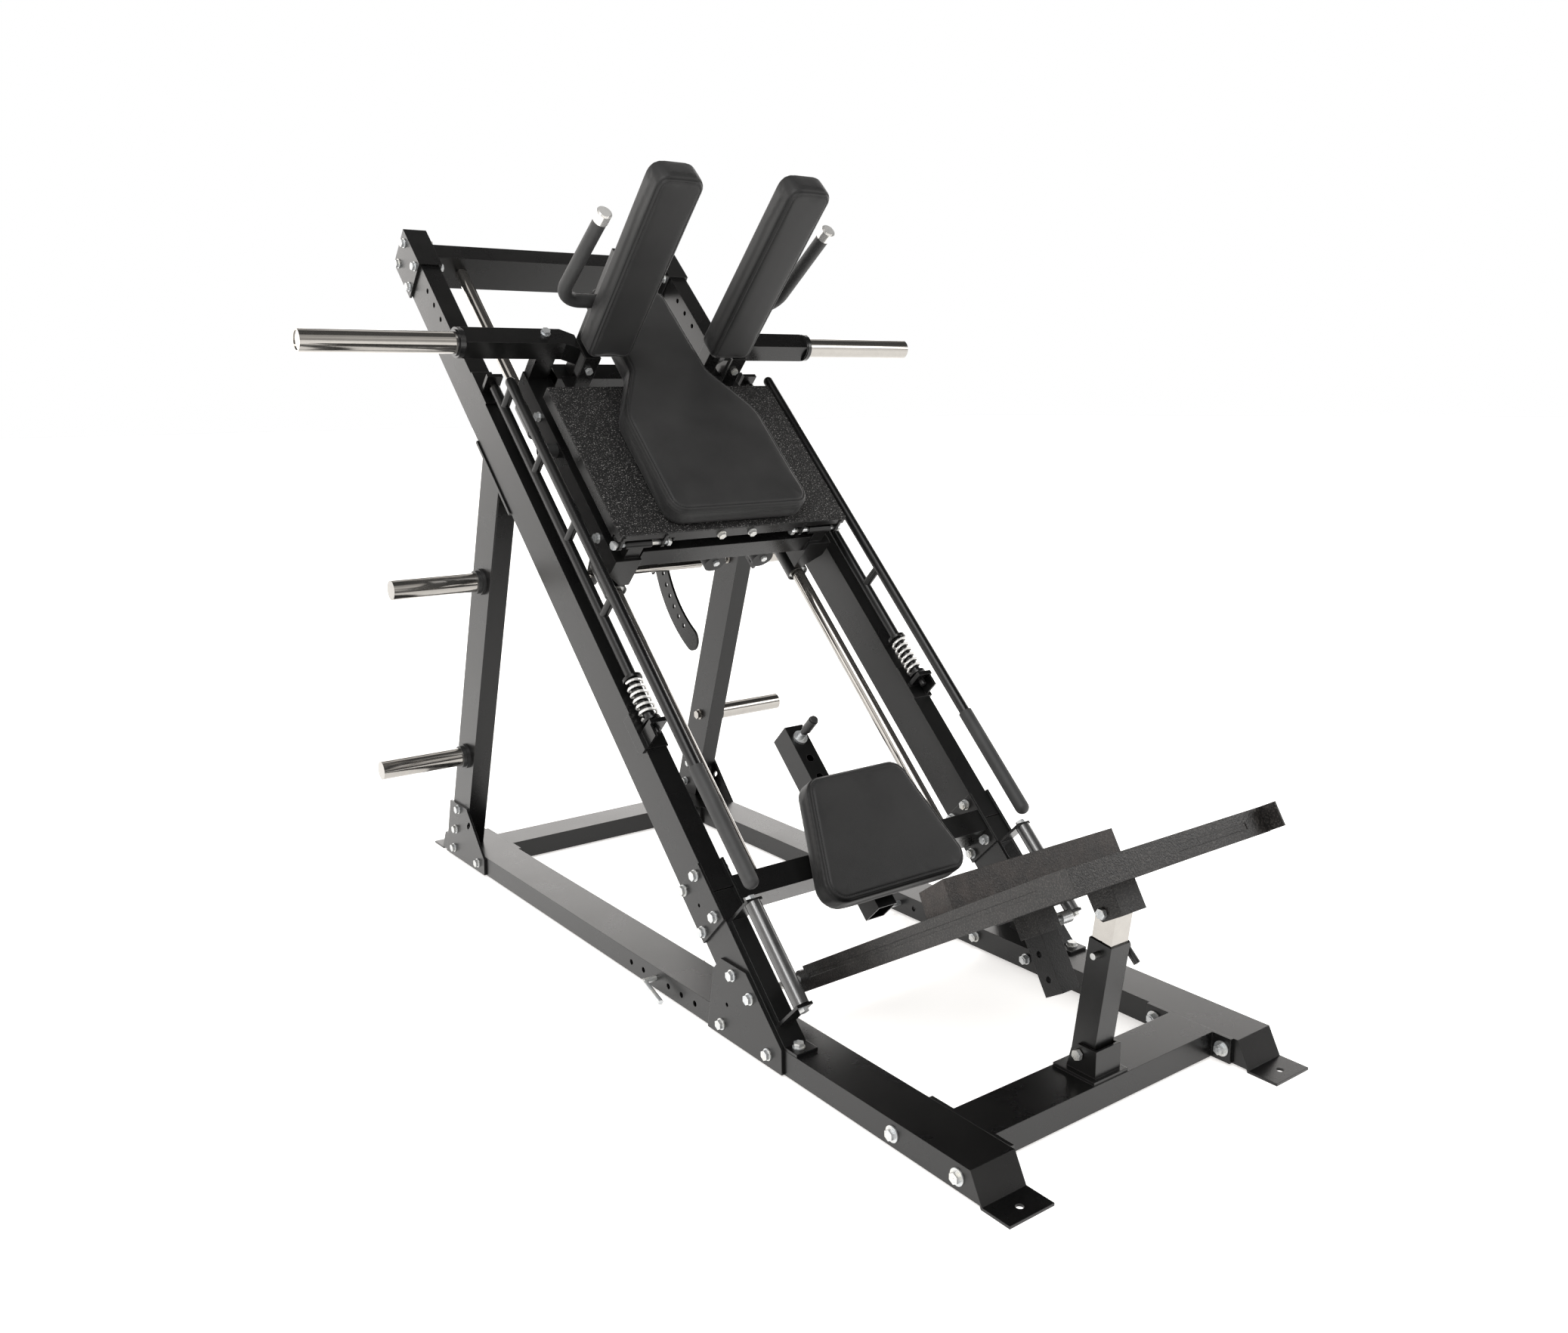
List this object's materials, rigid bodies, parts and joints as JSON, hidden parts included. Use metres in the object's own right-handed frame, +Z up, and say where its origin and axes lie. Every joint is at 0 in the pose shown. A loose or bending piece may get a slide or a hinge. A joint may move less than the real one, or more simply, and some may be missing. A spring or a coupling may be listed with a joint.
{
  "type": "hack squat machine",
  "caption": "Inclined hack squat and leg press machine: a sled with back pad, shoulder pads and weight horns slides on guide rods above a tilting foot plate.",
  "frame": {"origin": "on the floor, on the plane of symmetry, half way along the base rails", "axes": "+X to the right as seen from the foot plate end, +Y towards the upper end of the rails, +Z up"},
  "size_m": [1.71, 2.28, 1.7423],
  "materials": {
    "black_paint": "semi-gloss powder coat",
    "mottled_plate": "textured, non-slip",
    "grit": "coarse non-slip grit",
    "chrome": "polished",
    "zinc": "zinc plated",
    "collar": "satin",
    "black_plastic": "matte",
    "rubber": "matte",
    "grip_black": "smooth",
    "foam": "foam rubber",
    "vinyl": "stitched vinyl over foam"
  },
  "bodies": {
    "frame": {"base_rail_left": "black_paint", "base_rail_right": "black_paint", "front_crossmember": "black_paint", "rear_crossmember": "black_paint", "upright_left": "black_paint", "upright_right": "black_paint", "rear_gussets": "black_paint", "front_gussets": "black_paint", "storage_pegs": "chrome", "peg_collars": "black_plastic", "main_rail_left": "black_paint", "main_rail_right": "black_paint", "lower_rail_left": "black_paint", "lower_rail_right": "black_paint", "splice_plates": "black_paint", "top_crossmember": "black_paint", "guide_rods": "chrome", "seat_crossmember": "black_paint", "receiver_tube": "black_paint", "seat_pad": "vinyl", "seat_bracket": "black_paint", "hand_grips": "grip_black", "hand_grip_brackets": "black_paint", "catch_brackets": "black_paint", "frame_bolts": "zinc", "catch_springs": "chrome", "receiver_bushing": "zinc"},
    "sled": {"sled_frame": "black_paint", "bearing_housings": "black_paint", "linear_bearings": "zinc", "horn_arms": "black_paint", "horn_sleeves": "chrome", "horn_collars": "collar", "shoulder_pads": "vinyl", "shoulder_brackets": "black_paint", "handles": "foam", "handle_caps": "chrome", "sled_bolts": "zinc", "sled_bumpers": "rubber", "quadrant_rod": "chrome"},
    "press_plate": {"press_plate": "black_paint", "press_plate_grit": "grit", "quadrant": "black_paint", "back_pad": "vinyl", "back_pad_bracket": "black_paint"},
    "quadrant_pin": {"quadrant_pin": "zinc"},
    "catch_left": {"catch_left": "black_paint", "catch_grips_left": "foam"},
    "catch_right": {"catch_right": "black_paint", "catch_grips_right": "foam"},
    "foot_plate": {"foot_plate": "mottled_plate", "foot_plate_bolt": "zinc"},
    "calf_block": {"calf_block": "mottled_plate"},
    "calf_block_pin": {"calf_block_pin": "zinc"},
    "post_outer": {"post_outer": "black_paint"},
    "post_inner": {"post_inner": "chrome"},
    "post_pin": {"post_pin": "zinc"},
    "receiver_pin": {"receiver_pin": "black_plastic"},
    "hitch_pin_left": {"hitch_pin_left": "zinc"},
    "hitch_pin_right": {"hitch_pin_right": "zinc"}
  },
  "joints": [
    {"name": "sled_slide", "type": "slide", "parent": "frame", "child": "sled", "axis": [0, 0.7071, 0.7071], "range_m": [-0.42, 0.44]},
    {"name": "press_plate_tilt", "type": "hinge", "parent": "sled", "child": "press_plate", "pos_m": [0, 0.16484, 0.93409], "axis": [1, 0, 0], "range_deg": [0, 22.8]},
    {"name": "quadrant_pin_slide", "type": "slide", "parent": "sled", "child": "quadrant_pin", "axis": [1, 0, 0], "range_m": [0, 0.012]},
    {"name": "catch_swing_left", "type": "hinge", "parent": "frame", "child": "catch_left", "pos_m": [-0.372, 0.27444, 0.93904], "axis": [0, -0.7071, -0.7071], "range_deg": [0, 55]},
    {"name": "catch_swing_right", "type": "hinge", "parent": "frame", "child": "catch_right", "pos_m": [0.372, 0.27444, 0.93904], "axis": [0, 0.7071, 0.7071], "range_deg": [0, 55]},
    {"name": "foot_plate_tilt", "type": "hinge", "parent": "frame", "child": "foot_plate", "pos_m": [0, -0.43832, 0.11597], "axis": [-1, 0, 0], "range_deg": [0, 5]},
    {"name": "post_swing", "type": "hinge", "parent": "frame", "child": "post_outer", "pos_m": [0, -0.955, 0.095], "axis": [-1, 0, 0], "range_deg": [0, 5.6]},
    {"name": "post_extend", "type": "slide", "parent": "post_outer", "child": "post_inner", "axis": [0, -0.1392, 0.9903], "range_m": [0, 0.0455]},
    {"name": "post_pin_slide", "type": "slide", "parent": "post_outer", "child": "post_pin", "axis": [1, 0, 0], "range_m": [0, 0.07]},
    {"name": "calf_block_lift", "type": "slide", "parent": "foot_plate", "child": "calf_block", "axis": [0, 0.512, 0.859], "range_m": [0, 0.095]},
    {"name": "calf_block_pin_slide", "type": "slide", "parent": "foot_plate", "child": "calf_block_pin", "axis": [-1, 0, 0], "range_m": [0, 0.01]},
    {"name": "receiver_pin_slide", "type": "slide", "parent": "frame", "child": "receiver_pin", "axis": [0, -0.7071, 0.7071], "range_m": [0, 0.045]},
    {"name": "hitch_pin_left_slide", "type": "slide", "parent": "frame", "child": "hitch_pin_left", "axis": [-1, 0, 0], "range_m": [0, 0.13]},
    {"name": "hitch_pin_right_slide", "type": "slide", "parent": "frame", "child": "hitch_pin_right", "axis": [1, 0, 0], "range_m": [0, 0.13]}
  ],
  "couplings": [
    {"joint": "post_swing", "follows": "foot_plate_tilt", "ratio": 1.1},
    {"joint": "post_extend", "follows": "foot_plate_tilt", "m_per_rad": 0.5125}
  ]
}
